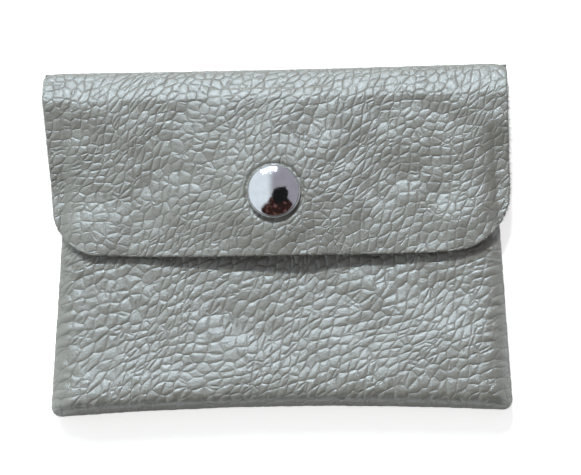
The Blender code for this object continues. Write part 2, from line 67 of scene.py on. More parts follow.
# The pouch
PURSE_WIDTH = 110 * MM
PURSE_LENGTH = 82 * MM
BOTTOM_NARROWING = 0.6 * MM
MOUTH_NARROWING = 8.4 * MM
MOUTH_BELOW_TOP = 13.5 * MM
POUCH_OFF_CENTRE = 0.2 * MM
POUCH_LEAN = 0.7 * MM
CORNER_RADIUS = 2.8 * MM
LEAST_CORNER = 0.5 * MM
BOTTOM_DRAW_IN = 1.8 * MM
DRAW_IN_DEPTH = 30 * MM
FRONT_RISE = 2.5 * MM
FRONT_EDGE_ANGLE = math.radians(50)
BELLY_RISE = 2.4 * MM
BELLY_HEIGHT = 3 * MM
BELLY_SLANT = 5 * MM
BELLY_SPREAD = 15.5 * MM
BELLY_END = 0.95 * MM
BELLY_LEFT_SHARE = 0.12

# The fold and the flap
FOLD_CLEARANCE = 2.2 * MM
FLAP_LENGTH = 44.9 * MM
FLAP_LEFT_LEAN = 2.6 * MM
FLAP_LEFT_CORNER = 10.5 * MM
FLAP_RIGHT_CORNER = 12.7 * MM
FLAP_LEFT_BOW = 1.5 * MM
FLAP_RIGHT_BOW = 2.4 * MM
LEFT_BOW_POWER = 2.2
RIGHT_BOW_POWER = 6
FLAP_LEFT_LIFT = 0.55 * MM
FLAP_RIGHT_LIFT = 1.4 * MM
FLAP_RAISED_RADIUS = 34 * MM
FOLD_DIP = 0.3 * MM
FOLD_CORNER = 1.2 * MM
CORNER_POWER = 46

# The pressed half of the fold, as slopes, shares and powers
PRESSED_FROM = 2.4 * MM
PRESSED_SLOPE = 0.34
PRESSED_EASE = 0.12
PRESSED_POWER = 5
PARTING_SHARE = 0.9

# The snap
SNAP_X = -0.2 * MM
SNAP_FROM_EDGE = 15 * MM
SHEET = 0.3 * MM
METAL_GAP = 0.1 * MM
CAP_RADIUS = 6.25 * MM
DOME_RADIUS = 6.08 * MM
CAP_SKIRT = 1.5 * MM
CAP_DOME = 1.2 * MM
CAP_LIP = 0.9 * MM
SEAT_REACH = 6.5 * MM
SEAT_FADE = 7 * MM
PRESS_RADIUS = 6.6 * MM
PRESS_WIDTH = 0.5 * MM
PRESS_DEPTH = 0.6 * MM
SHOULDER_RADIUS = 0.22 * MM
FOOT_RADIUS = 0.2 * MM
FLARE_OUT = 0.06 * MM
FLARE_HEIGHT = 0.4 * MM

# The thread of the seams
THREAD_RADIUS = 0.18 * MM
STITCH_PITCH = 3.0 * MM
STITCH_LENGTH = 2.2 * MM
STITCH_INSET = 0.75 * MM
STITCH_DIVE = 0.5 * MM
STITCH_STEP = 0.05 * MM
STITCH_RINGS = 9
STITCH_SIDES = 8

# Slack of the soft leather, as the height, the length and the seed of its ripples
FRONT_SLACK = ((0.16 * MM, 17 * MM, 11), (0.08 * MM, 8 * MM, 12))
FLAP_SLACK = ((0.22 * MM, 16 * MM, 21), (0.12 * MM, 8 * MM, 22))
SLACK_START = 4 * MM
FOLD_STIFFNESS = 6 * MM

# Puckers beside the seams of the front
PUCKER_DEPTH = 0.26 * MM
PUCKER_REACH = 3.2 * MM
PUCKER_START = 0.8 * MM
PUCKER_SWAY = 1.2 * MM
PUCKER_SWAY_LENGTH = 11 * MM
SIDE_PUCKER_PITCH = 3.6 * MM
LOW_PUCKER_PITCH = 3.9 * MM

# The cut edge, as shares of the thickness and steps outward, and its loose fibres
RIM_STEPS = ((0.1, 0.09 * MM), (0.36, 0.13 * MM), (0.64, 0.1 * MM), (0.88, 0.02 * MM), (1.0, -0.12 * MM))
RIM_ROUGHNESS = 0.05 * MM
FIBRE_COUNT = 3200
FIBRE_LENGTHS = (0.35 * MM, 0.85 * MM)
FIBRE_TAPER = ((0.0, 0.035 * MM), (0.45, 0.026 * MM), (0.8, 0.014 * MM))
FIBRE_SPREAD = 0.7
FIBRE_BEND = 0.35
FIBRE_ASLANT = (0.31, 0.2, 0.93)
LONG_FIBRE_SHARE = 0.06
LONG_FIBRE_GAIN = 1.4

# Steps of the grids of points: over a corner, across and upward, then beyond the mouth
FRONT_COUNTS = (9, 320, 206)
BACK_COUNTS = (7, 264, 176)
FLAP_COUNTS = (26, 300, 110)
NECK_STEPS = 24
LOWER_FOLD_STEPS = 25
UPPER_FOLD_STEPS = 30
ROLL_STEPS = 12
HEM_STEPS = 4

# The grain on flat hide, in degrees and in millimetres
FRONT_GRAIN = dict(low_heading=17, steep_heading=82, cell=2.6, steepness=0.4, seed=1, gathered=True)
BACK_GRAIN = dict(low_heading=-12, steep_heading=100, cell=2.4, steepness=0.65, seed=2)
GATHERED_BEYOND = 46
GATHER_SHARE = 0.3
GATHER_EASE = 2
ALONG_DRIFT = 1.1
ALONG_DRIFT_LENGTH = 28
ACROSS_DRIFT = 1.2
ACROSS_DRIFT_LENGTH = 30
HIDE_APART = 100.0

# The creases and the pebbles between them, in millimetres, and how uneven their nets are
CELL = 2.4
UNEVEN = 0.66
SLANT_CELL = 4.6
SLANT_UNEVEN = 0.9
SLANT_TURN = 0.7
CREASE_WIDTH = 0.12
BEVEL_WIDTH = 0.42
DOME_WIDTH = 1.1
PAD_WIDTH = 0.8
PAD_HEIGHT = 0.1
BACK_SUNK = 0.1
FRONT_RELIEF_SHARE = 1.0
BACK_RELIEF_SHARE = 0.72

# The kinds of faces of a hide, which are its material slots
GRAIN_SIDE = 0
FLESH_SIDE = 1
FIBRE = 2

# The lamps and the paper
WINDOW = dict(place=(-0.2, 2.12, 2.05), size=(0.5, 0.17), power=84, colour=(0.83, 0.93, 1.0))
SKY = dict(place=(-0.86, 1.86, 2.1), size=(0.3, 0.22), power=12, colour=(0.7, 0.87, 1.0))
FLOOR_HALF = 3.0
FLOOR_GAP = 0.02 * MM

# The camera, which stands where the photograph was taken
CAMERA_ELEVATION = 85.5
CAMERA_AZIMUTH = 3
CAMERA_DISTANCE = 0.6
CAMERA_ROLL = -0.9
MM_PER_PIXEL = 0.2375
PHOTO_WIDTH = 581
SENSOR_WIDTH = 36
AIM = (3.1 * MM, 0.78 * MM, 4 * MM)

# Places that follow
BOTTOM = -PURSE_LENGTH / 2
TOP = PURSE_LENGTH / 2
MOUTH = TOP - MOUTH_BELOW_TOP
BOTTOM_WIDTH = PURSE_WIDTH - BOTTOM_NARROWING
MOUTH_WIDTH = BOTTOM_WIDTH - MOUTH_NARROWING
FRONT_ROLL_CENTRE = 3 * ROLL + LAYER_GAP
FRONT_EDGE_INSET = ROLL * (1 - math.sin(FRONT_EDGE_ANGLE))
FRONT_EDGE_HEIGHT = FRONT_ROLL_CENTRE + ROLL * math.cos(FRONT_EDGE_ANGLE)
FRONT_SOFTNESS = FRONT_RISE / math.tan(FRONT_EDGE_ANGLE)
FOLD_RADIUS = (FRONT_EDGE_HEIGHT + FRONT_RISE + FOLD_CLEARANCE + LEATHER) / 2
FOLD_Y = TOP - FOLD_RADIUS
FLAP_EDGE = TOP - FLAP_LENGTH
SNAP_Y = FLAP_EDGE + SNAP_FROM_EDGE
HALF = PURSE_WIDTH / 2
SEAM_HEIGHT = 2 * ROLL + LAYER_GAP / 2


# What several sections use


def smooth(share):
    share = np.clip(share, 0, 1)
    return share * share * (3 - 2 * share)


def ripples(x, y, wavelength, seed, waves=9):
    """A smooth uneven surface from -1 to 1, made of plane waves of about one wavelength."""
    random = np.random.default_rng(seed)
    total = np.zeros_like(x)
    for _ in range(waves):
        heading = random.uniform(0, 2 * math.pi)
        length = wavelength * random.uniform(0.7, 1.5)
        phase = random.uniform(0, 2 * math.pi)
        along = x * math.cos(heading) + y * math.sin(heading)
        total += np.cos(2 * math.pi * along / length + phase)
    return total / math.sqrt(waves)


def slack(x, y, waves):
    """Ripples of several sizes, each given by its height, its length and its seed."""
    return sum(height * ripples(x, y, length, seed) for height, length, seed in waves)


def xyz(x, y, z):
    """Points from their coordinates, each an array or one value for all."""
    return np.stack(np.broadcast_arrays(x, y, z), axis=-1)


def unit(vectors):
    """The same directions, each one long."""
    return vectors / np.maximum(np.linalg.norm(vectors, axis=-1, keepdims=True), 1e-12)


def place_object(name, data):
    made = bpy.data.objects.new(name, data)
    bpy.context.scene.collection.objects.link(made)
    return made


def keep_evaluated(piece):
    """Puts what a piece's modifiers make of it in the place of its own mesh."""
    made = bpy.data.meshes.new_from_object(piece.evaluated_get(bpy.context.evaluated_depsgraph_get()))
    piece.modifiers.clear()
    old, piece.data = piece.data, made
    made.name = piece.name
    bpy.data.meshes.remove(old)


# The shapes of the pouch and the flap, as heights over their plan


def pouch_half_width(y):
    share = np.clip((y - BOTTOM) / (MOUTH - BOTTOM), 0, 1)
    return (BOTTOM_WIDTH + (MOUTH_WIDTH - BOTTOM_WIDTH) * share) / 2


def pouch_middle(y):
    return POUCH_OFF_CENTRE + POUCH_LEAN * np.clip((y - BOTTOM) / (MOUTH - BOTTOM), 0, 1)


def bottom_draw_in(x, y):
    across = np.maximum(1 - (2 * (x - POUCH_OFF_CENTRE) / BOTTOM_WIDTH) ** 2, 0)
    return BOTTOM_DRAW_IN * across * smooth(1 - (y - BOTTOM) / DRAW_IN_DEPTH)


def inside_front(x, y):
    """How far a point of the front lies from its side edges and from its bottom edge."""
    beside = pouch_half_width(y) - FRONT_EDGE_INSET - np.abs(x - pouch_middle(y))
    below = y - BOTTOM - bottom_draw_in(x, BOTTOM) - FRONT_EDGE_INSET
    return np.maximum(beside, 0), np.maximum(below, 0)


def soft_front(x, y):
    beside, below = inside_front(x, y)
    sides = 1 - np.exp(-beside / FRONT_SOFTNESS)
    ends = 1 - np.exp(-below / BELLY_END)
    crest = BOTTOM + BELLY_HEIGHT + BELLY_SLANT * x / HALF
    rise = BELLY_RISE * (1 - BELLY_LEFT_SHARE * x / HALF)
    belly = rise * np.exp(-(((y - crest) / BELLY_SPREAD) ** 2))
    return FRONT_EDGE_HEIGHT + (FRONT_RISE + belly) * sides * ends


def seat_share(x, y):
    reach = np.hypot(x - SNAP_X, y - SNAP_Y)
    return smooth((SEAT_REACH + SEAT_FADE - reach) / SEAT_FADE)


def draped_flap(x, y):
    share = smooth((FOLD_Y - y) / (FOLD_Y - SNAP_Y))
    lift = (FLAP_LEFT_LIFT + FLAP_RIGHT_LIFT) / 2 + (FLAP_RIGHT_LIFT - FLAP_LEFT_LIFT) * x / PURSE_WIDTH
    return 2 * FOLD_RADIUS + (soft_front(x, y) + lift + LEATHER - 2 * FOLD_RADIUS) * share


def pressed_drop(y):
    """How far the fold's upper half falls away towards its rim, which the pressed leather rounds tightly."""
    reach = FOLD_RADIUS + PRESSED_FROM
    share = np.clip((y - FOLD_Y + PRESSED_FROM) / reach, 0, 1)
    slope = PRESSED_SLOPE * reach * share * share / (share + PRESSED_EASE) * (1 + PRESSED_EASE)
    depth = FOLD_RADIUS - PRESSED_SLOPE * reach
    return slope + depth * (1 - (1 - share ** PRESSED_POWER) ** (1 / PRESSED_POWER))


FRONT_SEAT = float(soft_front(np.array(SNAP_X), np.array(SNAP_Y)))
FLAP_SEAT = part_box("snap_socket")[1][2] + METAL_GAP + LEATHER


def puckers(x, y, along, inside, pitch, seed):
    """Small waves that run into a seam and die away from it."""
    sway = PUCKER_SWAY * ripples(x, y, PUCKER_SWAY_LENGTH, seed)
    wave = np.sin(2 * math.pi * (along + sway) / pitch)
    return wave * (np.exp(-inside / PUCKER_REACH) * (1 - np.exp(-inside / PUCKER_START)))


def front_height(x, y):
    """The front's grain face, with the slack and the puckers that a turned seam gives soft leather."""
    beside, below = inside_front(x, y)
    free = 1 - np.exp(-np.minimum(beside, below) / SLACK_START)
    height = soft_front(x, y) + slack(x, y, FRONT_SLACK) * free
    at_sides = puckers(x, y, y, beside, SIDE_PUCKER_PITCH, 13)
    at_bottom = puckers(x, y, x, below, LOW_PUCKER_PITCH, 14)
    height = height + PUCKER_DEPTH * (at_sides + at_bottom)
    return height + (FRONT_SEAT - height) * seat_share(x, y)


def flap_height(x, y):
    """The flap's grain face, raised to its seat on the snap and pressed in round the cap."""
    off_snap = np.hypot(x - SNAP_X, y - SNAP_Y)
    at_snap = float(draped_flap(np.array(SNAP_X), np.array(SNAP_Y)))
    raised = (FLAP_SEAT - at_snap) * (1 + np.cos(np.pi * np.minimum(off_snap / FLAP_RAISED_RADIUS, 1))) / 2
    free = smooth((FOLD_Y - y) / FOLD_STIFFNESS)
    height = draped_flap(x, y) + raised + slack(x, y, FLAP_SLACK) * free - pressed_drop(y)
    height = height + (FLAP_SEAT - height) * seat_share(x, y)
    off_ring = (off_snap - PRESS_RADIUS) / PRESS_WIDTH
    return height - PRESS_DEPTH * np.exp(-off_ring * off_ring)


# Plans: grids of points from the bottom up, with round corners


def spread(low, high, near, far, corner_steps, steps):
    start = low + near * np.arange(corner_steps) / corner_steps
    middle = np.linspace(low + near, high - far, steps + 1)
    end = high - far * np.arange(corner_steps)[::-1] / corner_steps if far else np.zeros(0)
    return np.concatenate([start, middle, end])


def round_corner(x, y, half, low, corner):
    """Moves the points of square corners at the low end onto quarter discs."""
    across = np.clip((np.abs(x) - half + corner) / corner, 0, 1)
    down = np.clip((low + corner - y) / corner, 0, 1)
    rounded_x = half - corner + corner * across * np.sqrt(1 - down * down / 2)
    rounded_y = low + corner - corner * down * np.sqrt(1 - across * across / 2)
    inside = (across > 0) & (down > 0)
    return np.where(inside, np.copysign(rounded_x, x), x), np.where(inside, rounded_y, y)


def pouch_plan(inset, counts):
    """Plan points of a pouch panel whose outline is drawn in by inset."""
    corner_steps, across, upward = counts
    half = BOTTOM_WIDTH / 2 - inset
    low = BOTTOM + inset
    corner = max(CORNER_RADIUS - inset, LEAST_CORNER)
    columns = spread(-half, half, corner, corner, corner_steps, across)
    rows = spread(low, MOUTH, corner, 0, corner_steps, upward)
    x, y = np.meshgrid(columns, rows)
    x, y = round_corner(x, y, half, low, corner)
    x = x * (pouch_half_width(y) - inset) / half + pouch_middle(y)
    return x, y + bottom_draw_in(x, y)


def pouch_border(inset, counts):
    """The same panel's outline from the mouth down, along the bottom seam and up to the mouth."""
    x, y = pouch_plan(inset, counts)
    return outline_of(x), outline_of(y)


def flap_plan(counts):
    corner_steps, across, upward = counts
    low_zone = max(FLAP_LEFT_CORNER, FLAP_RIGHT_CORNER)
    columns = spread(-HALF, HALF, FLAP_LEFT_CORNER, FLAP_RIGHT_CORNER, corner_steps, across)
    rows = spread(FLAP_EDGE, FOLD_Y, low_zone, 0, corner_steps, upward)
    x, y = np.meshgrid(columns, rows)
    left = x < 0
    x, y = round_corner(x, y, HALF, FLAP_EDGE, np.where(left, FLAP_LEFT_CORNER, FLAP_RIGHT_CORNER))
    downward = (FOLD_Y - y) / (FOLD_Y - FLAP_EDGE)
    reach = np.abs(x / HALF)
    bow = np.where(left, FLAP_LEFT_BOW * reach ** LEFT_BOW_POWER, FLAP_RIGHT_BOW * reach ** RIGHT_BOW_POWER)
    lean = np.where(left, FLAP_LEFT_LEAN, 0)
    return x * (1 - lean / HALF * downward), y + bow * downward


def outline_of(grid):
    """Values down the left side of a grid, along its bottom and up its right side."""
    return np.concatenate([grid[::-1, 0], grid[0, 1:-1], grid[:, -1]])


# The flat hide that the grain is laid out on, in millimetres


def lay_grain(u, v, low_heading, steep_heading, cell, steepness, seed, gathered=False):
    """Where points lie on the hide, in millimetres, and on its skewed net of creases, in cells.

    The net is measured along its low and its steep lines, and its last value says how far the steep lines
    are the deep ones. Where a seam gathers the hide, at the two edges, the cells are drawn out level.
    """
    u, v = u / MM, v / MM
    bent_u = u
    if gathered:
        off_middle = u - POUCH_OFF_CENTRE / MM
        beyond = np.abs(off_middle) - GATHERED_BEYOND
        beyond = (beyond + np.sqrt(beyond * beyond + GATHER_EASE * GATHER_EASE)) / 2
        bent_u = u - np.sign(off_middle) * GATHER_SHARE * beyond
    low, steep = math.radians(low_heading), math.radians(steep_heading)
    bent_u = bent_u + ALONG_DRIFT * ripples(u, v, ALONG_DRIFT_LENGTH, seed)
    bent_v = v + ACROSS_DRIFT * ripples(u, v, ACROSS_DRIFT_LENGTH, seed + 1)
    skew = math.sin(steep - low)
    along = (bent_u * math.sin(steep) - bent_v * math.cos(steep)) / skew / cell
    across = (bent_v * math.cos(low) - bent_u * math.sin(low)) / skew / cell
    shift = HIDE_APART * seed
    return np.concatenate([xyz(u + shift, v, 0), xyz(along + shift, across + shift, steepness)], axis=-1)


# Sheets of leather: a fine grain side, a rim of a few rows and a coarse flesh side


class Leather:
    """Gathers the vertices and faces of one piece of hide."""

    def __init__(self, face, face_places, skirts=(), skirt_places=(), thickness=None, up=True):
        rows, columns = face.shape[:2]
        self.face = np.arange(rows * columns).reshape(rows, columns)
        border = outline_of(self.face)
        around = rows * columns + np.arange(len(skirts) * len(border)).reshape(-1, len(border))
        self.path = np.vstack([border[None, :], around])
        self.points = np.vstack([face.reshape(-1, 3), *skirts])
        self.places = np.vstack([face_places.reshape(-1, 6), *skirt_places])
        self.thickness = np.full(len(self.points), LEATHER) if thickness is None else thickness
        self.up = up
        self.grain = np.ones(len(self.points))
        self.faces = [quads(self.face), quads(self.path)[:, ::-1]]
        self.loose = []
        self.kinds = [np.full(len(block), GRAIN_SIDE) for block in self.faces]
        self.normals = self.face_normals()

    def face_normals(self):
        """Normals that point out of the grain side."""
        total = np.zeros_like(self.points)
        for block in self.faces:
            a, b, c, d = (self.points[block[:, k]] for k in range(4))
            flat = np.cross(c - a, d - b)
            for k in range(4):
                np.add.at(total, block[:, k], flat)
        return unit(total) if self.up else -unit(total)

    def add_points(self, points, places, grain=0.0):
        first = len(self.points)
        self.points = np.vstack([self.points, points])
        self.places = np.vstack([self.places, places])
        self.grain = np.concatenate([self.grain, np.full(len(points), grain)])
        return first + np.arange(len(points))

    def add_quads(self, block, kind):
        self.faces.append(block)
        self.kinds.append(np.full(len(block), kind))

    def rim(self):
        """The cut edge all round, from the grain side to the flesh side. Returns its last ring of points."""
        loop = border_loop(self.face, self.path)
        normal, thick = self.normals[loop], self.thickness[loop][:, None]
        centre = self.points[loop]
        outward = edge_outward(centre)
        outward[centre[:, 1] > FOLD_Y + PARTING_SHARE * FOLD_RADIUS] = 0
        last = loop
        random = np.random.default_rng(5)
        for depth, bulge in RIM_STEPS:
            rough = RIM_ROUGHNESS * random.standard_normal((len(loop), 1))
            places = centre - normal * thick * depth + outward * (bulge + rough)
            ring = self.add_points(places, self.places[loop])
            kind = GRAIN_SIDE if last is loop else FLESH_SIDE
            self.add_quads(ring_faces(last, ring), kind)
            last = ring
        return last

    def flesh(self, last, row_step, skirt_step):
        """A coarse copy of the sheet under its thickness, joined to the last ring of the rim."""
        open_border = len(self.path) == 1
        rows = thin_out(len(self.face), row_step, open_border, True)
        columns = thin_out(self.face.shape[1], row_step, open_border, open_border)
        face = self.face[np.ix_(rows, columns)]
        if open_border:
            path = outline_of(face)[None, :]
        else:
            where = np.full(self.face.max() + 1, -1)
            where[self.path[0]] = np.arange(self.path.shape[1])
            kept = where[outline_of(face)[1:-1]]
            kept = np.concatenate([[1], kept, [self.path.shape[1] - 2]])
            face[-1, 0], face[-1, -1] = self.path[0][[1, -2]]
            path = self.path[thin_out(len(self.path), skirt_step, False, True)][:, kept]
        used, index = np.unique(np.concatenate([face.ravel(), path.ravel()]), return_inverse=True)
        under = self.points[used] - self.normals[used] * self.thickness[used][:, None]
        new = self.add_points(under, self.places[used])
        face_new = new[index[: face.size]].reshape(face.shape)
        path_new = new[index[face.size :]].reshape(path.shape)
        self.add_quads(quads(face_new)[:, ::-1], FLESH_SIDE)
        self.add_quads(quads(path_new), FLESH_SIDE)
        self.loose += zip_loops(last, border_loop(face_new, path_new), self.points)

    def fibres(self, count, seed, where):
        """Short loose fibres that stand out of the cut edge."""
        border = border_loop(self.face, self.path)
        free = where(self.points[border])
        loop = border[free]
        centre, normal = self.points[loop], self.normals[loop]
        outward = edge_outward(self.points[border])[free]
        random = np.random.default_rng(seed)
        for _ in range(count):
            k = random.integers(len(loop))
            root = centre[k] - normal[k] * LEATHER * random.uniform(0.15, 0.95)
            lean = outward[k] + FIBRE_SPREAD * random.standard_normal(3) - 0.2 * normal[k]
            length = random.uniform(*FIBRE_LENGTHS)
            length *= LONG_FIBRE_GAIN if random.random() < LONG_FIBRE_SHARE else 1
            bend = FIBRE_BEND * random.standard_normal(3)
            self.add_fibre(root, unit(lean), length, bend, self.places[loop[k]])

    def add_fibre(self, root, heading, length, bend, place):
        """A three-sided fibre that narrows to a tip."""
        side = unit(np.cross(heading, FIBRE_ASLANT))
        other = np.cross(heading, side)
        turns = [0, 2 * math.pi / 3, 4 * math.pi / 3]
        rings = []
        for share, radius in FIBRE_TAPER:
            middle = root + (heading * share + bend * share * share) * length
            points = [middle + (side * math.cos(t) + other * math.sin(t)) * radius for t in turns]
            rings.append(self.add_points(np.array(points), np.array([place] * 3)))
        tip = self.add_points((root + (heading + bend) * length)[None, :], np.array([place]))[0]
        for low, high in zip(rings, rings[1:]):
            self.add_quads(ring_faces(low, high), FIBRE)
        ends = zip(rings[-1], np.roll(rings[-1], -1))
        self.loose += [([int(a), int(b), int(tip)], FIBRE) for a, b in ends]
        self.loose.append(([int(k) for k in rings[0][::-1]], FIBRE))

    def build(self, name):
        """The finished mesh, with its flat places and its share of grain as attributes."""
        blocks = np.vstack(self.faces)
        kinds = np.concatenate(self.kinds)
        polygons = blocks.tolist() + [face for face, _ in self.loose]
        kinds = np.concatenate([kinds, np.array([kind for _, kind in self.loose], int)])
        if not self.up:
            polygons = [face[::-1] for face in polygons]
        mesh = bpy.data.meshes.new(name)
        mesh.from_pydata(self.points.tolist(), [], polygons)
        mesh.polygons.foreach_set("material_index", kinds.astype(np.int32))
        mesh.polygons.foreach_set("use_smooth", np.ones(len(polygons), bool))
        for key, columns in (("hide", self.places[:, :3]), ("net", self.places[:, 3:])):
            places = mesh.attributes.new(key, "FLOAT_VECTOR", "POINT")
            places.data.foreach_set("vector", columns.astype(np.float32).ravel())
        grain = mesh.attributes.new("grain", "FLOAT", "POINT")
        grain.data.foreach_set("value", self.grain.astype(np.float32))
        mesh.update()
        return place_object(name, mesh)


def quads(index):
    """Faces between the rows and columns of an index grid."""
    return np.stack([index[:-1, :-1], index[:-1, 1:], index[1:, 1:], index[1:, :-1]], axis=-1).reshape(-1, 4)


def ring_faces(first, second):
    """Faces between two closed rings of as many points."""
    return np.stack([first, np.roll(first, -1), np.roll(second, -1), second], axis=1)


def border_loop(face, path):
    """The closed border of a face and its skirts: along the top, out, back along the last skirt, and in."""
    back = path[-1, ::-1][1:]
    if len(path) == 1:
        return np.concatenate([face[-1, :], back[:-1]])
    out = path[1:, -1]
    home = path[::-1, 0][1:-1]
    return np.concatenate([face[-1, :], out, back, home])


def edge_outward(centre):
    """Unit steps away from the sheet, square to its border, and none where that runs nearly upright."""
    along = unit(np.roll(centre, -1, axis=0) - np.roll(centre, 1, axis=0))
    flat = xyz(-along[:, 1], along[:, 0], 0)
    level = np.linalg.norm(flat, axis=1, keepdims=True) > 0.3
    return np.where(level, unit(flat), 0)


def thin_out(count, step, from_one, to_one):
    """Every step-th index, one short of an end that is an open border."""
    first = 1 if from_one else 0
    last = count - 2 if to_one else count - 1
    parts = max(round((last - first) / step), 1)
    return np.round(np.linspace(first, last, parts + 1)).astype(int)


def zip_loops(fine, coarse, points):
    """Faces between a fine closed loop and a coarse one that runs beside it."""
    gaps = np.linalg.norm(points[coarse][:, None, :] - points[fine][None, :, :], axis=2)
    match = gaps.argmin(axis=1)
    made = []
    for k in range(len(coarse)):
        first, last = match[k], match[(k + 1) % len(coarse)]
        run = (last - first) % len(fine)
        if run > len(fine) // 2:
            run = 0
        stretch = [int(fine[(first + j) % len(fine)]) for j in range(run + 1)]
        made.append((stretch + [int(coarse[(k + 1) % len(coarse)]), int(coarse[k])], FLESH_SIDE))
    return made


# The three pieces of hide


def front_leather():
    x, y = pouch_plan(FRONT_EDGE_INSET, FRONT_COUNTS)
    face = xyz(x, y, front_height(x, y))
    skirts, places, thick = [], [], [np.full(x.size, LEATHER)]
    for length, share in hem_stations():
        angle = FRONT_EDGE_ANGLE + (math.pi - FRONT_EDGE_ANGLE) * share
        inset = ROLL * (1 - math.sin(angle)) + max(length - math.pi * ROLL, 0)
        height = FRONT_ROLL_CENTRE + ROLL * math.cos(angle)
        edge_x, edge_y = pouch_border(inset, FRONT_COUNTS)
        skirts.append(xyz(edge_x, edge_y, height))
        flat_x, flat_y = pouch_border(FRONT_EDGE_INSET - length, FRONT_COUNTS)
        places.append(lay_grain(flat_x, flat_y, **FRONT_GRAIN))
        thick.append(np.full(len(edge_x), LEATHER + (SKIVED - LEATHER) * share))
    sheet = Leather(face, lay_grain(x, y, **FRONT_GRAIN), skirts, places, np.concatenate(thick))
    sheet.flesh(sheet.rim(), row_step=7, skirt_step=4)
    return sheet.build("front_leather")


def hem_stations():
    """Lengths along the hide from the start of its roll to the end of its hem, and how far it is skived."""
    around = np.arange(1, ROLL_STEPS + 1) * math.pi * ROLL / ROLL_STEPS
    beyond = math.pi * ROLL + np.arange(1, HEM_STEPS + 1) * HEM_WIDTH / HEM_STEPS
    lengths = np.concatenate([around, beyond])
    return zip(lengths, np.minimum(lengths / (math.pi * ROLL), 1))


def back_edge(length, amount):
    """How far out and up a station of the back's edge lies: rolled in at the pouch, flat at the fold."""
    rolled = math.pi * ROLL + HEM_WIDTH
    flat = (PURSE_WIDTH - MOUTH_WIDTH) / 2 + ROLL
    stretch = (flat + (rolled - flat) * amount * amount) / rolled
    around = math.pi * ROLL * stretch
    beyond = max(length * stretch - around, 0)
    within = length * stretch - beyond
    if amount < 1e-6:
        return within + beyond, 0
    turned_by = math.pi * amount
    radius = around / turned_by
    angle = within / radius
    out = radius * math.sin(angle) + beyond * math.cos(turned_by)
    return out, radius * (1 - math.cos(angle)) + beyond * math.sin(turned_by)


def fold_rows(row_x, first, last, steps):
    """Rows of points round the fold, whose middle dips a little."""
    angles = first + (last - first) * np.arange(1, steps + 1) / steps
    dip = FOLD_DIP * (1 - (row_x / HALF) ** 2) + FOLD_CORNER * np.abs(row_x / HALF) ** CORNER_POWER
    dip = dip * np.sin(angles)[:, None] ** 2
    y = FOLD_Y + FOLD_RADIUS * np.sin(angles)
    lower = FOLD_RADIUS - FOLD_RADIUS * np.cos(angles)
    z = np.where(angles > math.pi / 2, 2 * FOLD_RADIUS - pressed_drop(y), lower)
    return xyz(row_x, y[:, None] - dip, z[:, None]), angles


def neck_amounts():
    """How far the back's edge is still rolled in at each row between the mouth and the fold."""
    return 1 - smooth(np.arange(1, NECK_STEPS + 1) / NECK_STEPS)


def back_face():
    """The back's grain face from the bottom seam to the middle of the fold, and its places on flat hide."""
    x, y = pouch_plan(ROLL, BACK_COUNTS)
    neck_x = x[-1][None, :] - pouch_middle(MOUTH) * (1 - neck_amounts())[:, None]
    neck_y = MOUTH + (FOLD_Y - MOUTH) * np.arange(1, NECK_STEPS + 1) / NECK_STEPS
    neck_y = np.repeat(neck_y[:, None], x.shape[1], axis=1)
    fold, angles = fold_rows(neck_x[-1], 0, math.pi / 2, LOWER_FOLD_STEPS)
    level_x, level_y = np.concatenate([x, neck_x]), np.concatenate([y, neck_y])
    flat_fold = FOLD_Y + FOLD_RADIUS * angles[:, None] + 0 * fold[..., 0]
    flat_x, flat_y = np.concatenate([level_x, fold[..., 0]]), np.concatenate([level_y, flat_fold])
    return np.concatenate([xyz(level_x, level_y, 0), fold]), flat_x, flat_y


def back_skirt(face, length, amounts):
    """One line along the back's rolled edge: down its left side, along the bottom and up its right side."""
    out, up = back_edge(length, 1)
    edge_x, edge_y = pouch_border(ROLL - out, BACK_COUNTS)
    steps = np.array([back_edge(length, amount) for amount in amounts])
    sides = []
    for column, sign in ((0, -1), (-1, 1)):
        side = face[-len(amounts):, column].copy()
        side[:, 0] += sign * steps[:, 0]
        side[:, 2] += steps[:, 1]
        sides.append(side)
    return np.vstack([sides[0][::-1], xyz(edge_x, edge_y, up), sides[1]])


def back_skirt_grain(flat_x, flat_y, length, rows):
    """The same line on flat hide."""
    edge_x, edge_y = pouch_border(ROLL - length, BACK_COUNTS)
    left_x, left_y = flat_x[-rows:, 0] - length, flat_y[-rows:, 0]
    right_x, right_y = flat_x[-rows:, -1] + length, flat_y[-rows:, -1]
    along_x = np.concatenate([left_x[::-1], edge_x, right_x])
    along_y = np.concatenate([left_y[::-1], edge_y, right_y])
    return lay_grain(along_x, along_y, **BACK_GRAIN)


def back_leather():
    face, flat_x, flat_y = back_face()
    amounts = np.concatenate([neck_amounts(), np.zeros(LOWER_FOLD_STEPS)])
    skirts, places, thick = [], [], [np.full(flat_x.size, LEATHER)]
    for length, share in hem_stations():
        skirts.append(back_skirt(face, length, amounts))
        places.append(back_skirt_grain(flat_x, flat_y, length, len(amounts)))
        at_pouch = np.ones(len(skirts[-1]) - 2 * len(amounts))
        thinning = np.concatenate([amounts[::-1], at_pouch, amounts])
        thick.append(LEATHER + (SKIVED - LEATHER) * share * thinning)
    grain = lay_grain(flat_x, flat_y, **BACK_GRAIN)
    sheet = Leather(face, grain, skirts, places, np.concatenate(thick), up=False)
    sheet.flesh(sheet.rim(), row_step=7, skirt_step=4)
    return sheet.build("back_leather")


